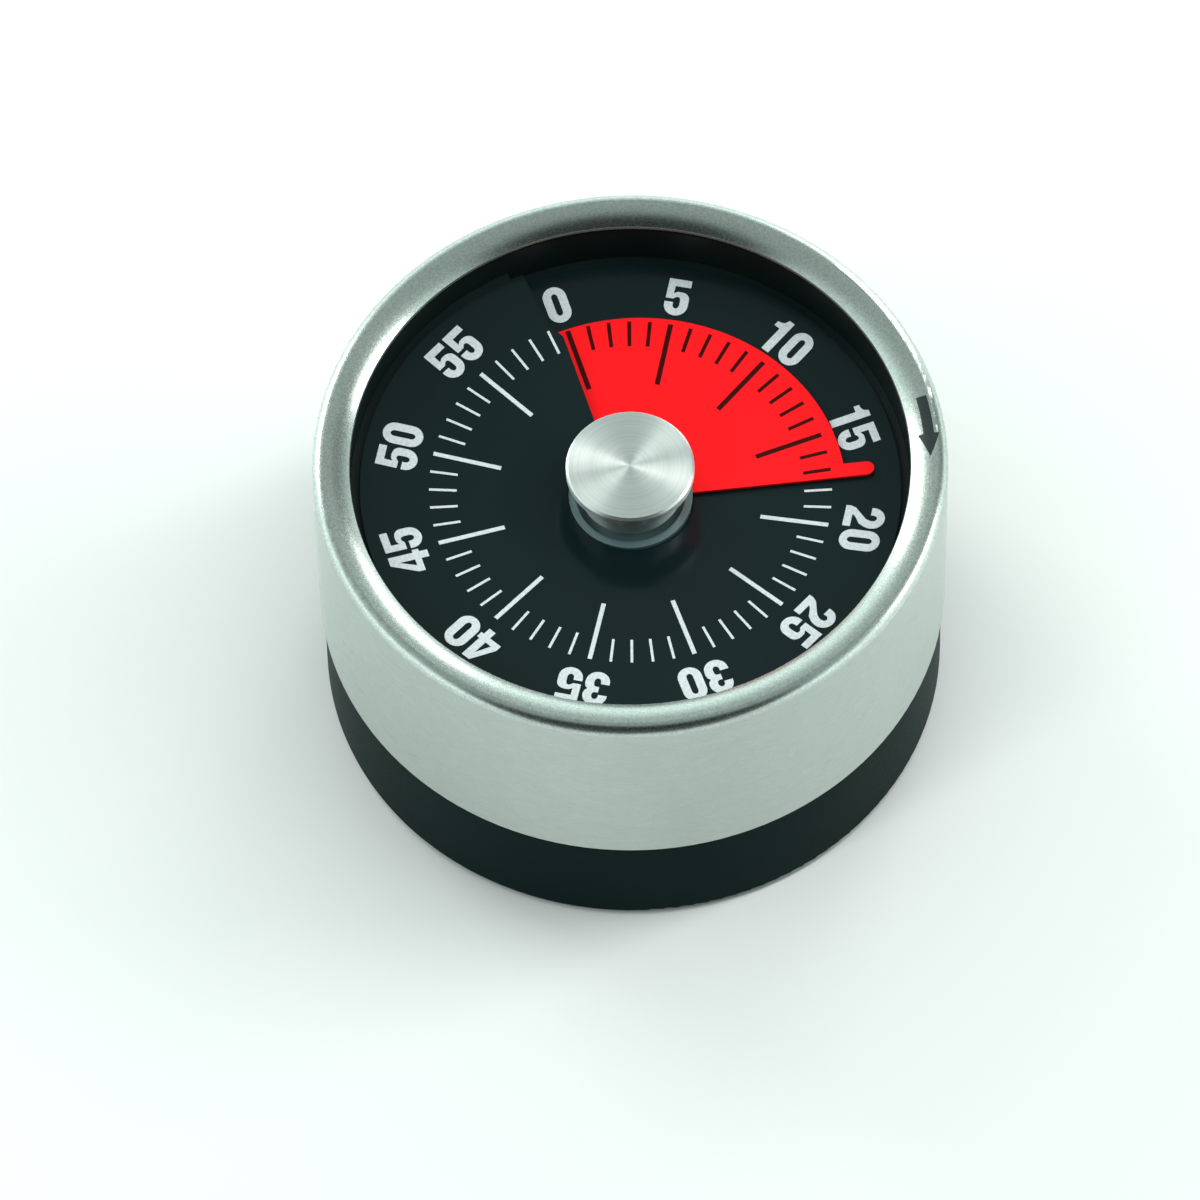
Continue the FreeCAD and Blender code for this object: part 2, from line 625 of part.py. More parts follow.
def make_train_stage(name, driver, thickness_name, window):
    """One arbor with its lantern pinion and, below or above, the wheel that it carries."""
    spot = SPOTS[name]
    low, high = size("back_plate_z"), size("shelf_top + plate")
    arbor = Part.makeCylinder(size("train_arbor_r"), high - low, spot + UP * low)
    node(solid(name + "_stem", arbor), name + "_arbor")
    angle, pitch_r, pinion_r = MESHES[driver]
    middle = size(driver + "_bottom") + size("great_thick" if driver == "great" else thickness_name) / 2
    height = 1.5 if driver != "great" else 2.2
    pinion = lantern(pinion_r, PIN_SHARE * pinion_r, height, 0.3)
    node(solid(name + "_lantern", moved(pinion, spot, middle - height / 2, angle + 180)), name + "_pinion")
    if name not in MESHES:
        return
    angle, pitch_r, pinion_r = MESHES[name]
    thick = size(thickness_name)
    teeth, bore = int(size(name + "_teeth")), size("train_arbor_r")
    wheel = wheel_blank(teeth, pitch_r, pinion_r, PIN_SHARE * pinion_r, thick, bore)
    wheel = windows(wheel, 4, window, pitch_r * 0.56, thick)
    node(solid(name + "_disc", moved(wheel, spot, size(name + "_bottom"), angle)), name + "_wheel")


def make_escape_wheel():
    count = int(size("escape_teeth"))
    step = 360.0 / count
    tip, root = size("escape_r"), size("escape_root_r")
    shape_of_tooth = ((root, 0.30), (tip, 0.46), (tip, 0.54), (root, 0.62))
    points = [polar(r, (i + share) * step) for i in range(count) for r, share in shape_of_tooth]
    wheel = toothed(points, size("train_arbor_r"), size("wheel_thick"))
    wheel = windows(wheel, 4, 1.2, 2.8, size("wheel_thick"))
    facing = size("verge_angle") + 45
    node(solid("escape_disc", moved(wheel, SPOTS["escape"], size("escape_bottom"), facing)), "escape_wheel")


def verge_spot():
    """The pallets swing square to the wheel's radius when they stand 45 degrees off its axis."""
    return SPOTS["escape"] + polar(size("pallet_at") * math.sqrt(2), size("verge_angle"))


def make_verge():
    spot = verge_spot()
    low, high = size("back_plate_z"), size("shelf_top + plate")
    stem = Part.makeCylinder(size("train_arbor_r"), high - low, spot + UP * low)
    node(solid("verge_stem", stem), "verge_staff")
    arm_z = size("escape_bottom + wheel_thick") + 0.4
    thick, half = size("wheel_thick"), 0.55
    hub = Part.makeCylinder(1.5, thick, spot + UP * arm_z)
    parts = []
    for side in (45, -45):
        pin_at = SPOTS["escape"] + polar(size("pallet_at"), size("verge_angle") + side)
        way = pin_at - spot
        arm = Part.makeBox(way.Length, 2 * half, thick, FreeCAD.Vector(0, -half, 0))
        arm.rotate(FreeCAD.Vector(0, 0, 0), UP, math.degrees(math.atan2(way.y, way.x)))
        arm.translate(spot + UP * arm_z)
        parts.append(arm)
        parts.append(Part.makeCylinder(half, thick, pin_at + UP * arm_z))
        drop = size("wheel_thick") + 0.6
        parts.append(Part.makeCylinder(size("pallet_pin_r"), drop, pin_at + UP * (arm_z - drop)))
    fork = hub.fuse(parts).cut(Part.makeCylinder(size("train_arbor_r"), 4, spot + UP * (arm_z - 1)))
    node(solid("pallets", fork.removeSplitter()), "pallet_fork")
    reach, bar_thick = size("balance_r"), 0.8
    bar = Part.makeBox(2 * reach - 2, 1.4, bar_thick, FreeCAD.Vector(1 - reach, -0.7, 0))
    ends = [Part.makeCylinder(1.2, 1.6, FreeCAD.Vector(s * (reach - 1.2), 0, -0.4)) for s in (-1, 1)]
    boss = Part.makeCylinder(1.3, bar_thick)
    balance = bar.fuse(ends + [boss]).cut(Part.makeCylinder(size("train_arbor_r"), bar_thick))
    way = size("verge_angle") + 90
    node(solid("balance", moved(balance.removeSplitter(), spot, size("balance_bottom"), way)), "balance_bar")


def make_click():
    """The click stands in a ratchet gap, on a rivet in the great wheel, with a wire spring behind it."""
    bottom, thick = size("ratchet_bottom"), size("ratchet_thick")
    pivot = polar(8.4, 60)
    great_top = size("great_bottom + great_thick")
    rivet = Part.makeCylinder(0.6, bottom + thick + 0.2 - great_top, pivot + UP * great_top)
    node(solid("click_pin", rivet), "click_rivet")
    corners = ((9.6, 58), (9.5, 66), (6.8, 93), (5.8, 98), (5.0, 97), (5.95, 86), (7.2, 56))
    points = [polar(radius, degrees) for radius, degrees in corners]
    lever = Part.Face(Part.makePolygon(points + points[:1])).extrude(UP * thick)
    lever.translate(UP * bottom)
    bore = Part.makeCylinder(0.65, thick + 1, pivot + UP * (bottom - 0.5))
    node(solid("click_lever", lever.cut(bore)), "click")
    post = Part.makeCylinder(0.5, 1.0, polar(12.4, 84) + UP * great_top)
    start, end = polar(12.4, 84), polar(8.5, 86)
    way = end - start
    wire = Part.makeCylinder(0.15, way.Length, start + UP * (great_top + 0.65), way)
    node(solid("click_wire", post.fuse(wire)), "click_spring")


# ---------------------------------------------------------------- plates, pillars, bell, hammer

def pillar_spots():
    spots = [around("pillar_at", str(angle)) + ("pillar_r",) for angle in (12, 90, 145)]
    return spots + [("last_pillar_x", "last_pillar_y", "last_pillar_r")]


def pivot_spots():
    """Every upright arbor that both plates carry."""
    hammer = FreeCAD.Vector(size("hammer_x"), size("hammer_y"), 0)
    return [SPOTS["second"], SPOTS["third"], SPOTS["escape"], verge_spot(), hammer]


def make_plates():
    pivots = []
    for i, spot in enumerate(pivot_spots()):
        pivots.append(cylinder("pivot_hole_%d" % i, "train_arbor_r + fit_gap", "crest_z", spot.x, spot.y))
    front = cylinder("front_disc", "front_plate_r", "plate", "0", "0", "shelf_top")
    back = cylinder("back_disc", "back_plate_r", "plate", "0", "0", "back_plate_z")
    shared = []
    for i, (x, y, radius) in enumerate(pillar_spots()):
        shared.append(cylinder("pillar_hole_%d" % i, radius + " / 2", "crest_z", x, y))
    arbor_hole = cylinder("front_arbor_hole", "arbor_r + fit_gap", "crest_z")
    back_hole = cylinder("back_arbor_hole", "arbor_pivot_r + fit_gap", "crest_z")
    screw_holes = []
    for i, (x, y) in enumerate(plate_screw_spots()):
        screw_holes.append(cylinder("front_screw_hole_%d" % i, "screw_r + fit_gap", "crest_z", x, y))
    front_tool = fused("front_cuts", pivots + shared + screw_holes + [arbor_hole])
    back_tool = fused("back_cuts", pivots + shared + [back_hole])
    node(cut("front_final", front, front_tool), "front_plate")
    node(cut("back_final", back, back_tool), "back_plate")


def make_pillars():
    pillars, nuts, screws = [], [], []
    gap = "shelf_top - back_plate_z - plate"
    for i, (x, y, radius) in enumerate(pillar_spots()):
        body = cylinder("pillar_body_%d" % i, radius, gap, x, y, "back_plate_z + plate")
        low, high = "back_plate_z - nut_len", "shelf_top + plate + nut_len"
        pin = cylinder("pillar_pin_%d" % i, radius + " / 2", "%s - (%s)" % (high, low), x, y, low)
        pillars.append(fused("pillar_%d" % i, [body, pin]))
        for place_name, bottom in (("low", low), ("high", "shelf_top + plate")):
            name = "nut_%s_%d" % (place_name, i)
            nut = doc.addObject("Part::Prism", name + "_hex")
            nut.Polygon = 6
            nut.setExpression("Circumradius", bound("nut_r"))
            nut.setExpression("Height", bound("nut_len"))
            place(nut, x, y, bottom)
            hole = cylinder(name + "_hole", radius + " / 2", "nut_len", x, y, bottom)
            nuts.append(cut(name, nut, hole))
    for i, (x, y) in enumerate(plate_screw_spots()):
        head = cylinder("plate_screw_head_%d" % i, "nut_r", "nut_len", x, y, "shelf_top + plate")
        shank = cylinder("plate_screw_shank_%d" % i, "screw_r", "2.5", x, y, "shelf_top + plate - 2.5")
        screws.append(fused("plate_screw_%d" % i, [head, shank]))
    node(grouped("pillar_set", pillars), "plate_pillars")
    node(grouped("nut_set", nuts), "pillar_nuts")
    node(grouped("plate_screw_set", screws), "plate_screws")


def make_bell():
    corner_r = "bell_r - bell_round"
    body = lathe("bell", [
        ("screw_r", "bell_bottom"),
        (corner_r, "bell_bottom"),
        ("bell_r", "bell_bottom + bell_round", corner_r, "bell_bottom + bell_round", "y"),
        ("bell_r", "bell_top"),
        ("bell_r - bell_wall", "bell_top"),
        ("bell_r - bell_wall", "bell_bottom + bell_round"),
        (corner_r, "bell_bottom + bell_wall", corner_r, "bell_bottom + bell_round", "x"),
        ("screw_r", "bell_bottom + bell_wall"),
    ])
    node(body, "bell")
    post_len = "back_plate_z - bell_bottom - bell_wall"
    post = cylinder("bell_stem", "bell_post_r", post_len, "0", "0", "bell_bottom + bell_wall")
    tap = cylinder("bell_tap", "screw_r", "4", "0", "0", "bell_bottom + bell_wall")
    node(cut("bell_post_final", post, tap), "bell_post")
    head = cylinder("bell_screw_head", "screw_head_r", "1", "0", "0", "bell_bottom - 1")
    shank = cylinder("bell_screw_shank", "screw_r", "bell_wall + 3.8", "0", "0", "bell_bottom")
    node(fused("bell_screw_final", [head, shank]), "bell_screw")


def lever_between(start, end, half, thick, height):
    """A flat arm with round ends from one upright line to another."""
    way = end - start
    arm = Part.makeBox(way.Length, 2 * half, thick, FreeCAD.Vector(0, -half, 0))
    arm.rotate(FreeCAD.Vector(0, 0, 0), UP, math.degrees(math.atan2(way.y, way.x)))
    arm.translate(start + UP * height)
    ends = [Part.makeCylinder(half, thick, point + UP * height) for point in (start, end)]
    return arm.fuse(ends).removeSplitter()


def make_hammer():
    pivot = FreeCAD.Vector(size("hammer_x"), size("hammer_y"), 0)
    head_at = FreeCAD.Vector(size("head_x"), size("head_y"), 0)
    tail_at = FreeCAD.Vector(size("tail_x"), size("tail_y"), 0)
    low, high = size("head_bottom"), size("shelf_top + plate")
    stem_r = size("train_arbor_r")
    node(solid("hammer_stem", Part.makeCylinder(stem_r, high - low, pivot + UP * low)), "hammer_staff")
    tail = lever_between(pivot, tail_at, 0.7, size("cam_thick"), size("cam_bottom"))
    tail = tail.fuse(Part.makeCylinder(1.3, size("cam_thick"), pivot + UP * size("cam_bottom")))
    tail = tail.cut(Part.makeCylinder(stem_r, 4, pivot + UP * (size("cam_bottom") - 1)))
    node(solid("hammer_lever", tail.removeSplitter()), "hammer_tail")
    head = Part.makeCylinder(size("head_r"), size("head_len"), head_at + UP * low)
    arm = lever_between(pivot, head_at, 0.9, 1.0, low + 1)
    arm = arm.cut(Part.makeCylinder(stem_r, 4, pivot + UP * low))
    node(solid("hammer_weight", head.fuse(arm).removeSplitter()), "hammer_head")


make_shell()
make_base()
make_foot_and_fasteners()
make_surround()
make_dial()
make_red_disc()
make_hub()
make_knob()
make_main_arbor()
make_ratchet()
make_cam()
make_mainspring()
make_great_wheel()
for stage, driver, window in (("second", "great", 1.9), ("third", "second", 1.4), ("escape", "third", 0)):
    make_train_stage(stage, driver, "wheel_thick", window)
make_escape_wheel()
make_verge()
make_click()
make_plates()
make_pillars()
make_bell()
make_hammer()
doc.recompute()

problems = ["%s: %s" % (obj.Label, obj.State) for obj in doc.Objects if {"Invalid", "Error"} & set(obj.State)]
for piece in NODES:
    if piece.Shape.isNull() or not piece.Shape.isValid() or not piece.Shape.Solids:
        problems.append("%s: bad shape" % piece.Label)
if problems:
    raise RuntimeError("; ".join(problems))

os.makedirs("parts", exist_ok=True)
for piece in NODES:
    piece.Shape.exportStep(os.path.join("parts", piece.Label + ".step"))
    box = piece.Shape.BoundBox
    print("%-16s solids %d  volume %9.2f  z %6.2f..%6.2f  r %5.2f" % (
        piece.Label, len(piece.Shape.Solids), piece.Shape.Volume, box.ZMin, box.ZMax,
        max(abs(box.XMin), abs(box.XMax), abs(box.YMin), abs(box.YMax))))
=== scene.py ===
import math

import bmesh
import bpy
from mathutils import Matrix, Vector


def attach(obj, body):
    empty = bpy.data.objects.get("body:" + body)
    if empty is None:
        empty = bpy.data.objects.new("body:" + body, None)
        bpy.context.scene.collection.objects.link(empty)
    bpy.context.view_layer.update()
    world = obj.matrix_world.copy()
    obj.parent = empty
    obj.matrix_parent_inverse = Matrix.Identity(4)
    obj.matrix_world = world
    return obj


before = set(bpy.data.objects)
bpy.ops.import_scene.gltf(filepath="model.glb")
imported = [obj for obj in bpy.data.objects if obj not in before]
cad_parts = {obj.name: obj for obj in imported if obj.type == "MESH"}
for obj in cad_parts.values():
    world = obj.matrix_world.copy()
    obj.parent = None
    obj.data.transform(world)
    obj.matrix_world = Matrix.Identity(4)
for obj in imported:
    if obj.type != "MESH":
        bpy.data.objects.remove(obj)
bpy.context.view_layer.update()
MM = 0.001
CASE, POINTER = "case", "pointer"

# ---------------------------------------------------------------- the dial's screw surface

PITCH = 2.09            # rise per turn, mm
DISH = 0.09             # rise per mm of radius
SCALE_R = 24.8          # outer ends of the minute marks
SCALE_Z = 36.9          # height of the dial's face there, at the 0 mark
ZERO = 107.1            # direction of the 0 mark, degrees anticlockwise from +X
RED_LIFT = 0.6          # the red disc's face above the dial's
# the flap's edge beside the 0 mark: mm along the mark's line and mm aside of it
FLAP_EDGE = ((0.0, 1.0), (23.4, 1.0), (25.3, 2.15), (35.3, 3.4))
RED_LEAD = 17.5         # minutes at the red disc's leading edge
CREST_R, CREST_Z = 37.7, 45.5               # the rim's highest circle, mm
ROLL_R, SHOULDER_R = 5.08, 1.3              # the rim's curves inside and outside it, mm


def bearing(minute):
    """Direction of a minute on the dial, radians anticlockwise from +X."""
    return math.radians(ZERO - 6.0 * minute)


def minute_at(x, y):
    """Minute on the dial's surface at a point, just under 0 between the flap's edge and the 0 mark."""
    turn = math.atan2(y, x) - bearing(0)
    r = math.hypot(x, y)
    along, aside = r * math.cos(turn), r * math.sin(turn)
    edge = FLAP_EDGE[0][1]
    for (near, at_near), (far, at_far) in zip(FLAP_EDGE, FLAP_EDGE[1:]):
        if along > near:
            edge = at_near + (at_far - at_near) * (along - near) / (far - near)
    minute = -math.degrees(turn) / 6.0 % 60.0
    if minute > 57.0 and aside < edge:
        minute -= 60.0
    return minute


def dial_z(x, y):
    """Height of the dial's face, mm."""
    return SCALE_Z + DISH * (math.hypot(x, y) - SCALE_R) + PITCH * minute_at(x, y) / 60.0


def red_z(x, y):
    """Height of the red disc's face at rest, mm: past its leading edge it lies under the dial."""
    minute = minute_at(x, y)
    if minute > RED_LEAD + 0.05:
        minute -= 60.0
    return SCALE_Z + RED_LIFT + DISH * (math.hypot(x, y) - SCALE_R) + PITCH * minute / 60.0


def rim_z(x, y):
    """Height of the rim's top, mm."""
    r = math.hypot(x, y)
    if r <= CREST_R:
        return CREST_Z - ROLL_R + math.sqrt(ROLL_R ** 2 - (CREST_R - r) ** 2)
    return CREST_Z - SHOULDER_R + math.sqrt(SHOULDER_R ** 2 - (r - CREST_R) ** 2)


# ---------------------------------------------------------------- mesh helpers

def mesh_object(name, bm, material, body):
    """A piece made from a bmesh, which rides on a body and takes a material slot's finish."""
    bmesh.ops.recalc_face_normals(bm, faces=bm.faces)
    for face in bm.faces:
        face.smooth = False
    mesh = bpy.data.meshes.new(name)
    bm.to_mesh(mesh)
    bm.free()
    obj = bpy.data.objects.new(name, mesh)
    bpy.context.scene.collection.objects.link(obj)
    obj.data.materials.append(material)
    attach(obj, body)
    return obj


PRINT = 0.02            # thickness of the printed marks, mm
PRINT_GAP = 0.006       # marks stand this far off the surface


def print_grid(bm, rows, height):
    """A closed thin plate over a grid of (x, y) points in mm, laid on a surface."""
    tops, lows = [], []
    for row in rows:
        tops.append([bm.verts.new(Vector((x, y, height(x, y) + PRINT_GAP + PRINT)) * MM) for x, y in row])
        lows.append([bm.verts.new(Vector((x, y, height(x, y) + PRINT_GAP)) * MM) for x, y in row])
    last_row, last_col = len(rows) - 1, len(rows[0]) - 1
    for i in range(last_row):
        for j in range(last_col):
            bm.faces.new((tops[i][j], tops[i][j + 1], tops[i + 1][j + 1], tops[i + 1][j]))
            bm.faces.new((lows[i][j], lows[i + 1][j], lows[i + 1][j + 1], lows[i][j + 1]))
    for i in range(last_row):
        for j in (0, last_col):
            bm.faces.new((tops[i][j], tops[i + 1][j], lows[i + 1][j], lows[i][j]))
    for j in range(last_col):
        for i in (0, last_row):
            bm.faces.new((tops[i][j], tops[i][j + 1], lows[i][j + 1], lows[i][j]))


def tick_rows(minute, inner, outer, width):
    """The points of one radial mark: five rows of three."""
    a = bearing(minute)
    along, across = Vector((math.cos(a), math.sin(a))), Vector((math.sin(a), -math.cos(a)))
    rows = []
    for k in range(5):
        r = inner + (outer - inner) * k / 4
        rows.append([tuple(along * r + across * (side * width / 2)) for side in (-1, 0, 1)])
    return rows


# ---------------------------------------------------------------- numerals

DIGIT_W, DIGIT_H = 2.98, 5.05
UPRIGHT, FLAT = 1.08, 0.97     # widths of the upright and level strokes


def arc(cx, cy, rx, ry, start, end, steps=14):
    """Points along an ellipse's arc, degrees."""
    points = []
    for k in range(steps + 1):
        a = math.radians(start + (end - start) * k / steps)
        points.append((cx + rx * math.cos(a), cy + ry * math.sin(a)))
    return points


def digit_loops(digit):
    """Outer outline and holes of a condensed bold figure, centred on the origin."""
    w, h = DIGIT_W / 2, DIGIT_H / 2
    bowl = h - w            # height of the centre of a full round end
    iw = w - UPRIGHT
    ih = w - FLAT
    if digit == "0":
        outer = arc(0, bowl, w, w, 0, 180) + arc(0, -bowl, w, w, 180, 360)
        hole = arc(0, bowl, iw, ih, 0, 180) + arc(0, -bowl, iw, ih, 180, 360)
        return [outer, hole]
    if digit == "1":
        return [[(-0.12, -h), (0.98, -h), (0.98, h), (0.16, h), (-0.05, 1.95), (-0.42, 1.72),
                 (-0.95, 1.62), (-0.95, 0.92), (-0.12, 0.92)]]
    if digit == "2":
        outer = [(-w, 0.72)] + arc(0, bowl, w, w, 180, 0)
        outer += [(w, 0.72), (w - 0.14, 0.18), (w - 0.52, -0.52), (-0.05, -1.2), (-0.3, -h + FLAT),
                  (w, -h + FLAT), (w, -h), (-w, -h), (-w, -h + 0.62), (-w + 0.22, -1.3), (-0.4, -0.42),
                  (iw - 0.2, 0.22), (iw, 0.78)]
        outer += arc(0, bowl, iw, ih, 0, 180) + [(-iw, 0.72)]
        return [outer]
    if digit == "3":
        outer = [(-w, 0.85)] + arc(0, bowl, w, w, 180, 0)
        outer += [(w, 0.92), (w - 0.1, 0.5), (w - 0.42, 0.16), (w - 0.1, -0.18), (w, -0.62)]
        outer += arc(0, -bowl, w, w, 0, -180) + [(-w, -0.8), (-iw, -0.8)]
        outer += arc(0, -bowl, iw, ih, 180, 360)
        outer += [(iw, -0.72), (iw - 0.1, -0.42), (0.1, -0.3), (-0.32, -0.3),
                  (-0.32, 0.52), (0.1, 0.52), (iw - 0.08, 0.66), (iw, 0.98)]
        outer += arc(0, bowl, iw, ih, 0, 180) + [(-iw, 0.85)]
        return [outer]
    if digit == "4":
        outer = [(0.2, -h), (1.2, -h), (1.2, -1.5), (w + 0.1, -1.5), (w + 0.1, -0.68), (1.2, -0.68),
                 (1.2, h), (0.02, h), (-w - 0.1, -0.62), (-w - 0.1, -1.5), (0.2, -1.5)]
        hole = [(0.2, -0.68), (-0.68, -0.68), (0.2, 1.35)]
        return [outer, hole]
    outer = [(-w + 0.06, h), (w - 0.08, h), (w - 0.08, h - FLAT), (-w + 0.98, h - FLAT),
             (-w + 0.94, 0.52), (-0.1, 0.78), (0.35, 0.8)]
    outer += arc(w - 1.0, -0.16, 1.0, 0.94, 84, 0, 8)
    outer += arc(0, -bowl, w, w, 0, -180) + [(-w, -0.72), (-iw, -0.72)]
    outer += arc(0, -bowl, iw, ih, 180, 360)
    outer += [(iw, -0.35), (iw - 0.1, 0.02), (iw - 0.36, 0.12), (-0.2, 0.02), (-0.48, -0.22),
              (-w + 0.04, -0.22)]
    return [outer]


def digit_mesh(digit):
    """The flat figure as a mesh, filled by a 2-D curve."""
    curve = bpy.data.curves.new("figure", "CURVE")
    curve.dimensions = "2D"
    curve.fill_mode = "BOTH"
    curve.extrude = PRINT / 2
    for loop in digit_loops(digit):
        spline = curve.splines.new("POLY")
        spline.points.add(len(loop) - 1)
        for point, (x, y) in zip(spline.points, loop):
            point.co = (x, y, 0, 1)
        spline.use_cyclic_u = True
    holder = bpy.data.objects.new("figure", curve)
    mesh = bpy.data.meshes.new_from_object(holder)
    bpy.data.objects.remove(holder)
    return mesh


NUMERAL_R = 29.0        # the figures' middles from the dial's centre, mm
DIGIT_PITCH = 3.38      # between the middles of a number's two figures


def numerals(material):
    """The numbers 0 to 55, heads outward, bent onto the dial's surface."""
    shapes = {digit: digit_mesh(digit) for digit in "012345"}
    bm = bmesh.new()
    for minute in range(0, 60, 5):
        a = bearing(minute)
        out, side = Vector((math.cos(a), math.sin(a))), Vector((math.sin(a), -math.cos(a)))
        text = str(minute)
        for place, digit in enumerate(text):
            shift = (place - (len(text) - 1) / 2) * DIGIT_PITCH
            part = bmesh.new()
            part.from_mesh(shapes[digit])
            bmesh.ops.remove_doubles(part, verts=part.verts, dist=1e-5)
            for v in part.verts:
                flat = out * (NUMERAL_R + v.co.y) + side * (shift + v.co.x)
                z = dial_z(flat.x, flat.y) + PRINT_GAP + PRINT / 2 + v.co.z
                v.co = Vector((flat.x, flat.y, z)) * MM
            piece = bpy.data.meshes.new("figure_part")
            part.to_mesh(piece)
            part.free()
            bm.from_mesh(piece)
            bpy.data.meshes.remove(piece)
    return mesh_object("dial_numerals", bm, material, CASE)


# ---------------------------------------------------------------- marks

LONG_MARK_R, SHORT_MARK_R = 16.3, 21.4      # inner ends of the five-minute and minute marks, mm


def marks(name, widths, height, material, body):
    """Sixty minute marks, those at every fifth minute longer and wider."""
    bm = bmesh.new()
    for minute in range(60):
        five = minute % 5 == 0
        inner, width = (LONG_MARK_R, widths[0]) if five else (SHORT_MARK_R, widths[1])
        print_grid(bm, tick_rows(minute, inner, SCALE_R, width), height)
    return mesh_object(name, bm, material, body)


def arrow(material):
    """The printed arrow on the rim, pointing clockwise."""
    middle, half_shaft, half_head, half_tip = 36.8, 0.65, 1.32, 0.04
    tail_at, head_at, tip_at = 77.7, 86.1, 91.1     # degrees clockwise from +Y
    spans = [(tail_at, head_at, half_shaft, half_shaft, 14), (head_at, tip_at, half_head, half_tip, 12)]
    bm = bmesh.new()
    for start, end, wide_a, wide_b, steps in spans:
        rows = []
        for k in range(steps + 1):
            share = k / steps
            a = math.radians(90 - (start + (end - start) * share))
            half = wide_a + (wide_b - wide_a) * share
            radii = [middle + half * (j / 4 - 1) for j in range(9)]
            rows.append([(r * math.cos(a), r * math.sin(a)) for r in radii])
        print_grid(bm, rows, rim_z)
    return mesh_object("rim_arrow", bm, material, CASE)


# ---------------------------------------------------------------- materials

class Nodes:
    """A material's node tree, with short ways to add and join nodes."""

    def __init__(self, name):
        self.material = bpy.data.materials.new(name)
        self.material.use_nodes = True
        self.tree = self.material.node_tree
        self.bsdf = self.tree.nodes["Principled BSDF"]
        self.coords = self.add("ShaderNodeTexCoord").outputs["Object"]

    def add(self, kind, **settings):
        node = self.tree.nodes.new(kind)
        for key, value in settings.items():
            setattr(node, key, value)
        return node

    def put(self, socket, value):
        if isinstance(value, bpy.types.NodeSocket):
            self.tree.links.new(value, socket)
        elif isinstance(value, tuple) and len(value) == 3 and len(socket.default_value) == 4:
            socket.default_value = (*value, 1.0)
        else:
            socket.default_value = value

    def set(self, **inputs):
        for key, value in inputs.items():
            self.put(self.bsdf.inputs[key.replace("_", " ")], value)

    def math(self, operation, a, b=0.0):
        node = self.add("ShaderNodeMath", operation=operation)
        self.put(node.inputs[0], a)
        self.put(node.inputs[1], b)
        return node.outputs[0]

    def noise(self, vector, scale, detail=3.0, roughness=0.5):
        node = self.add("ShaderNodeTexNoise")
        self.put(node.inputs["Vector"], vector)
        self.put(node.inputs["Scale"], scale)
        self.put(node.inputs["Detail"], detail)
        self.put(node.inputs["Roughness"], roughness)
        return node.outputs["Fac"]

    def ramp(self, value, low, high, to_low=0.0, to_high=1.0):
        node = self.add("ShaderNodeMapRange", interpolation_type="SMOOTHSTEP")
        for socket, number in zip(node.inputs, (value, low, high, to_low, to_high)):
            self.put(socket, number)
        return node.outputs["Result"]

    def mix(self, share, a, b):
        node = self.add("ShaderNodeMix", data_type="RGBA")
        self.put(node.inputs[0], share)
        self.put(node.inputs[6], a)
        self.put(node.inputs[7], b)
        return node.outputs[2]

    def parts(self, vector):
        node = self.add("ShaderNodeSeparateXYZ")
        self.put(node.inputs[0], vector)
        return node.outputs

    def join(self, x, y, z):
        node = self.add("ShaderNodeCombineXYZ")
        for socket, value in zip(node.inputs, (x, y, z)):
            self.put(socket, value)
        return node.outputs[0]

    def radius(self, x, y):
        square = self.math("ADD", self.math("MULTIPLY", x, x), self.math("MULTIPLY", y, y))
        return self.math("SQRT", square)

    def bump(self, height, strength, distance):
        node = self.add("ShaderNodeBump")
        self.put(node.inputs["Height"], height)
        self.put(node.inputs["Strength"], strength)
        self.put(node.inputs["Distance"], distance)
        return node.outputs["Normal"]


def shell_material():
    """Steel: fine level brushing on the side, blasted grain on the rolled rim."""
    n = Nodes("shell_steel_look")
    x, y, z = n.parts(n.coords)
    angle = n.math("ARCTAN2", y, x)
    r = n.radius(x, y)
    streak_at = n.join(n.math("MULTIPLY", angle, 0.012), n.math("MULTIPLY", z, 6.0), r)
    streaks = n.noise(streak_at, 2600.0, 4.0, 0.65)
    broad = n.noise(n.join(n.math("MULTIPLY", angle, 0.02), z, 0.0), 400.0, 2.0)
    grain = n.noise(n.join(n.math("MULTIPLY", angle, 0.022), r, z), 4200.0, 3.0, 0.65)
    grain_mid = n.noise(n.coords, 3200.0, 3.0, 0.6)
    rim = n.math("MAXIMUM", n.ramp(z, 0.0438, 0.0446), n.ramp(r, 0.0381, 0.0376))
    side_rough = n.math("ADD", n.ramp(streaks, 0.3, 0.7, 0.27, 0.36),
                        n.ramp(broad, 0.3, 0.7, -0.02, 0.03))
    rim_rough = n.ramp(grain, 0.3, 0.7, 0.22, 0.29)
    rough = n.math("ADD", n.math("MULTIPLY", side_rough, n.math("SUBTRACT", 1.0, rim)),
                   n.math("MULTIPLY", rim_rough, rim))
    side_colour = n.mix(n.ramp(streaks, 0.25, 0.75), (0.44, 0.50, 0.465), (0.56, 0.62, 0.585))
    rim_colour = n.mix(n.ramp(grain_mid, 0.3, 0.7), (0.46, 0.52, 0.49), (0.60, 0.66, 0.63))
    side_bump = n.bump(streaks, 0.25, 0.00002)
    rim_bump = n.bump(grain, 0.10, 0.000008)
    blend = n.add("ShaderNodeMix", data_type="VECTOR")
    n.put(blend.inputs[0], rim)
    n.put(blend.inputs[4], side_bump)
    n.put(blend.inputs[5], rim_bump)
    tangent = n.add("ShaderNodeTangent", direction_type="RADIAL", axis="Z")
    lip_painted_shade = n.ramp(r, 0.03450, 0.03443)       # painted shade: the rolled edge's inner lip is coloured dark and not metallic
    # painted shade: the inner lip takes a dark grey in place of the steel's colour, so it shows no
    # reflection
    colour = n.mix(lip_painted_shade, n.mix(rim, side_colour, rim_colour), (0.09, 0.115, 0.11))
    n.set(Base_Color=colour, Metallic=n.math("SUBTRACT", 1.0, lip_painted_shade), Roughness=rough,
          Normal=blend.outputs[1], Anisotropic=0.7, Anisotropic_Rotation=0.25, Tangent=tangent.outputs[0])
    return n.material


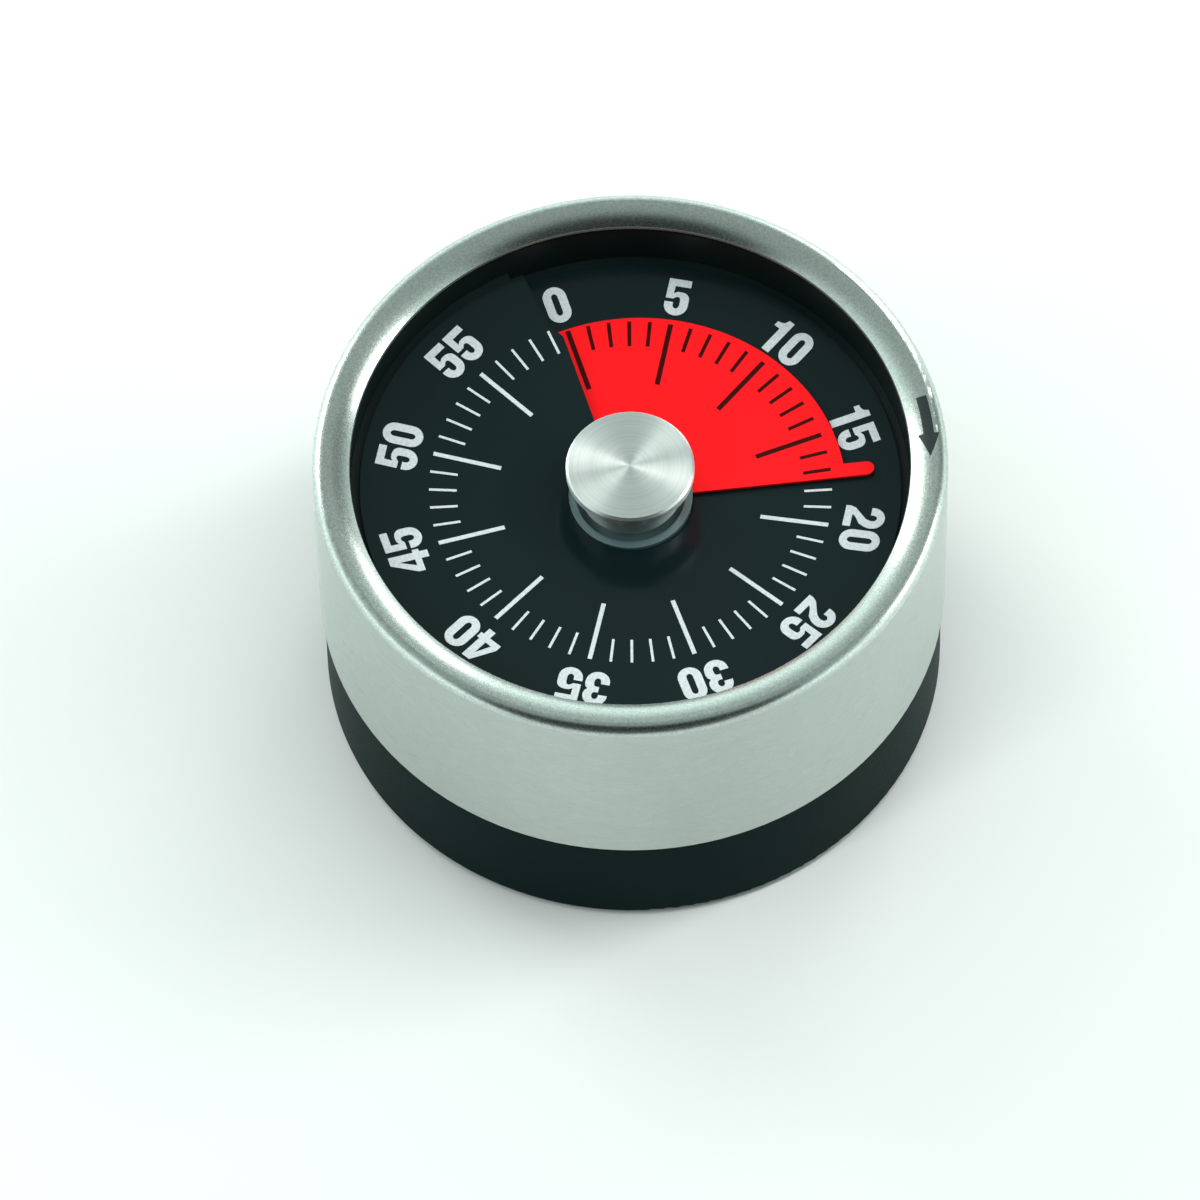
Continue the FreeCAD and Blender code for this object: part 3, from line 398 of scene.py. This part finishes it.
def knob_material():
    """Turned metal with fine rings."""
    n = Nodes("knob_metal_look")
    x, y, z = n.parts(n.coords)
    r = n.radius(x, y)
    rings = n.noise(n.join(r, 0.0, z), 5200.0, 4.0, 0.7)
    wide = n.noise(n.join(r, 0.0, 0.0), 1400.0, 2.0, 0.5)
    colour = n.mix(n.ramp(rings, 0.3, 0.7), (0.78, 0.82, 0.80), (0.92, 0.96, 0.94))
    tangent = n.add("ShaderNodeTangent", direction_type="RADIAL", axis="Z")
    n.set(Base_Color=colour, Metallic=1.0, Roughness=n.ramp(wide, 0.3, 0.7, 0.36, 0.42),
          Normal=n.bump(rings, 0.35, 0.00002), Anisotropic=0.92, Anisotropic_Rotation=0.25,
          Tangent=tangent.outputs[0])
    return n.material


def plastic(name, dark, light, rough, bump=0.15, coat=0.0, cloud_scale=60.0, shine=0.5):
    """Moulded plastic or film: faint uneven colour, fine skin."""
    n = Nodes(name)
    cloud = n.noise(n.coords, cloud_scale, 3.0)
    grain = n.noise(n.coords, 4000.0, 3.0, 0.6)
    n.set(Base_Color=n.mix(n.ramp(cloud, 0.3, 0.7), dark, light),
          Roughness=n.ramp(grain, 0.3, 0.7, rough - 0.03, rough + 0.04),
          Normal=n.bump(grain, bump, 0.00001), Specular_IOR_Level=shine)
    if coat:
        n.set(Coat_Weight=coat, Coat_Roughness=0.05)
    return n.material


def metal(name, dark, light, rough, grain_scale=2500.0):
    """Plain worked metal with a fine uneven finish."""
    n = Nodes(name)
    x, y, z = n.parts(n.coords)
    lines = n.noise(n.join(n.math("MULTIPLY", x, 0.15), y, z), grain_scale, 3.0, 0.6)
    cloud = n.noise(n.coords, 180.0, 3.0)
    n.set(Base_Color=n.mix(n.ramp(cloud, 0.3, 0.7), dark, light), Metallic=1.0,
          Roughness=n.ramp(lines, 0.3, 0.7, rough - 0.05, rough + 0.07),
          Normal=n.bump(lines, 0.2, 0.00002))
    return n.material


def ink(name, dark, light, rough, shine=0.5):
    """Screen-printed ink: slightly patchy, matt."""
    n = Nodes(name)
    speck = n.noise(n.coords, 3500.0, 3.0, 0.6)
    n.set(Base_Color=n.mix(n.ramp(speck, 0.35, 0.65), dark, light), Roughness=rough,
          Normal=n.bump(speck, 0.2, 0.00001), Specular_IOR_Level=shine)
    return n.material


shell_steel = shell_material()
knob_metal = knob_material()
base_black = plastic("base_black_look", (0.0015, 0.0115, 0.0110), (0.0025, 0.0130, 0.0122), 0.42,
                     bump=0.25, shine=0.02)
wall_black = plastic("wall_black_look", (0.004, 0.010, 0.0095), (0.007, 0.014, 0.0135), 0.45, shine=0.2)
foot_rubber = plastic("foot_rubber_look", (0.010, 0.011, 0.011), (0.016, 0.018, 0.018), 0.75, bump=0.4)
dial_film = plastic("dial_film_look", (0.0035, 0.0105, 0.0115), (0.0050, 0.0140, 0.0155), 0.16,
                    bump=0.04, cloud_scale=25.0, shine=0.2)
red_film = plastic("red_film_look", (0.93, 0.008, 0.012), (0.98, 0.010, 0.014), 0.35,
                   bump=0.04, cloud_scale=25.0, shine=0.1)
hub_plastic = plastic("hub_plastic_look", (0.095, 0.155, 0.165), (0.120, 0.185, 0.195), 0.22, coat=0.2)
white_plastic = plastic("white_plastic_look", (0.62, 0.61, 0.56), (0.72, 0.71, 0.67), 0.42)
inner_steel = metal("inner_steel_look", (0.42, 0.43, 0.43), (0.55, 0.56, 0.56), 0.32)
spring_steel = metal("spring_steel_look", (0.16, 0.18, 0.24), (0.24, 0.27, 0.34), 0.28)
brass_look = metal("brass_look", (0.62, 0.44, 0.16), (0.74, 0.55, 0.23), 0.30)
bell_look = metal("bell_look", (0.60, 0.60, 0.58), (0.68, 0.68, 0.66), 0.14, 900.0)
magnet_look = metal("magnet_look", (0.52, 0.52, 0.52), (0.62, 0.62, 0.62), 0.25)
white_ink = ink("white_ink_look", (0.52, 0.58, 0.60), (0.66, 0.71, 0.73), 0.5)
black_ink = ink("black_ink_look", (0.004, 0.010, 0.010), (0.008, 0.018, 0.018), 0.45)
red_tick_ink = ink("red_tick_ink_look", (0.028, 0.0015, 0.0015), (0.045, 0.003, 0.003), 0.45, shine=0.1)

LOOKS = {
    "steel_shell": shell_steel, "knob": knob_metal, "base_housing": base_black,
    "dial_surround": wall_black, "dial_seat": wall_black, "foot_ring": foot_rubber,
    "dial": dial_film, "red_disc": red_film, "disc_hub": hub_plastic,
    "mainspring": spring_steel, "click_spring": spring_steel, "bell": bell_look,
    "back_magnets": magnet_look,
}
for name in ("front_plate", "back_plate", "great_wheel", "second_wheel", "balance_bar", "strike_cam"):
    LOOKS[name] = brass_look
for name in ("third_wheel", "third_pinion", "escape_wheel", "escape_pinion"):
    LOOKS[name] = white_plastic
for name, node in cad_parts.items():
    node.data.materials.clear()
    node.data.materials.append(LOOKS.get(name, inner_steel))

# ---------------------------------------------------------------- prints

numerals(white_ink)
marks("dial_marks", (0.55, 0.33), dial_z, white_ink, CASE)
marks("red_marks", (0.62, 0.46), red_z, red_tick_ink, POINTER)
arrow(black_ink)

# ---------------------------------------------------------------- floor, light and camera

FLOOR_HALF = 3.0        # half the floor's side, m
FLOOR_DROP = 0.0001     # the floor lies this far below the foot ring, m


def floor():
    bm = bmesh.new()
    bmesh.ops.create_grid(bm, x_segments=1, y_segments=1, size=FLOOR_HALF)
    mesh = bpy.data.meshes.new("floor")
    bm.to_mesh(mesh)
    bm.free()
    obj = bpy.data.objects.new("floor", mesh)
    bpy.context.scene.collection.objects.link(obj)
    n = Nodes("floor_look")
    cloud = n.noise(n.coords, 3.0, 2.0)
    n.set(Base_Color=n.mix(cloud, (0.80, 0.83, 0.82), (0.84, 0.87, 0.86)), Roughness=0.35)
    obj.data.materials.append(n.material)
    obj.location.z = -FLOOR_DROP


MIDDLE = Vector((0, 0, 0.03))
WHITE, WARM = (1.0, 1.0, 1.0), (1.0, 0.985, 0.95)
LIGHT_DEPTH = 0.25      # the lights' shorter side, m
# place in m, longer side in m, power in W, colour, whether it shows in reflections
LIGHTS = {
    "key": ((0.08, -0.15, 1.2), 4.0, 15.5, WHITE, False),
    "left_back": ((-0.68, 0.66, 0.53), 0.42, 3.0, WARM, True),
    "right_soft": ((0.92, 0.14, 0.66), 0.45, 2.6, WARM, True),
    "right_back": ((0.41, 0.88, 0.50), 0.36, 1.4, WARM, True),
}


def area_light(name, at, length, watts, colour, in_reflections):
    light = bpy.data.lights.new(name, "AREA")
    light.shape = "RECTANGLE"
    light.size = length
    light.size_y = LIGHT_DEPTH
    light.energy = watts
    light.color = colour
    obj = bpy.data.objects.new(name, light)
    obj.location = at
    obj.rotation_euler = (MIDDLE - Vector(at)).to_track_quat("-Z", "Y").to_euler()
    obj.visible_glossy = in_reflections
    bpy.context.scene.collection.objects.link(obj)


def world_light():
    """A pale sky, brighter low down, dim behind the camera and in one patch at the right."""
    world = bpy.data.worlds.new("studio")
    bpy.context.scene.world = world
    world.use_nodes = True
    tree = world.node_tree
    background = tree.nodes["Background"]
    coords = tree.nodes.new("ShaderNodeTexCoord").outputs["Generated"]

    def sky(direction, values):
        """Strength that runs between two values along a direction of the sky."""
        along = tree.nodes.new("ShaderNodeVectorMath")
        along.operation = "DOT_PRODUCT"
        tree.links.new(coords, along.inputs[0])
        along.inputs[1].default_value = direction
        run = tree.nodes.new("ShaderNodeMapRange")
        run.interpolation_type = "SMOOTHSTEP"
        tree.links.new(along.outputs["Value"], run.inputs[0])
        for socket, value in zip(list(run.inputs)[1:5], values):
            socket.default_value = value
        return run.outputs[0]

    def times(first, second):
        product = tree.nodes.new("ShaderNodeMath")
        product.operation = "MULTIPLY"
        tree.links.new(first, product.inputs[0])
        tree.links.new(second, product.inputs[1])
        return product.outputs[0]

    up, behind_camera, right_patch = (0.0, 0.0, 1.0), (0.0, -0.80, 0.60), (0.642, 0.539, 0.545)
    strength = sky(up, (0.28, 0.88, 1.65, 0.46))
    strength = times(strength, sky(behind_camera, (0.62, 0.84, 1.0, 0.06)))
    strength = times(strength, sky(right_patch, (0.89, 0.98, 1.0, 0.3)))
    tree.links.new(strength, background.inputs["Strength"])
    background.inputs["Color"].default_value = (0.86, 1.0, 0.96, 1.0)


ELEVATION, ROLL = 58.88, -1.413     # the camera's, degrees
AIM = Vector((0, 0, 36.08))         # the point that it is set from, mm
AWAY, LEFT, DOWN = 1324.6, 3.785, 12.585        # from that point, along the camera's own axes, mm
LENS, SENSOR = 322.4, 36.0


def camera():
    elevation, roll = math.radians(ELEVATION), math.radians(ROLL)
    ahead = Vector((0, math.cos(elevation), -math.sin(elevation)))
    level, steep = Vector((1, 0, 0)), Vector((0, math.sin(elevation), math.cos(elevation)))
    right = level * math.cos(roll) + steep * math.sin(roll)
    up = steep * math.cos(roll) - level * math.sin(roll)
    at = (AIM - ahead * AWAY - right * LEFT - up * DOWN) * MM
    data = bpy.data.cameras.new("camera")
    data.sensor_width = SENSOR
    data.lens = LENS
    data.clip_start, data.clip_end = 0.05, 20.0
    obj = bpy.data.objects.new("camera", data)
    obj.matrix_world = Matrix((
        (right.x, up.x, -ahead.x, at.x),
        (right.y, up.y, -ahead.y, at.y),
        (right.z, up.z, -ahead.z, at.z),
        (0, 0, 0, 1),
    ))
    bpy.context.scene.collection.objects.link(obj)
    bpy.context.scene.camera = obj


floor()
world_light()
for light_name, settings in LIGHTS.items():
    area_light(light_name, *settings)
camera()
bpy.context.scene.view_settings.view_transform = "Standard"
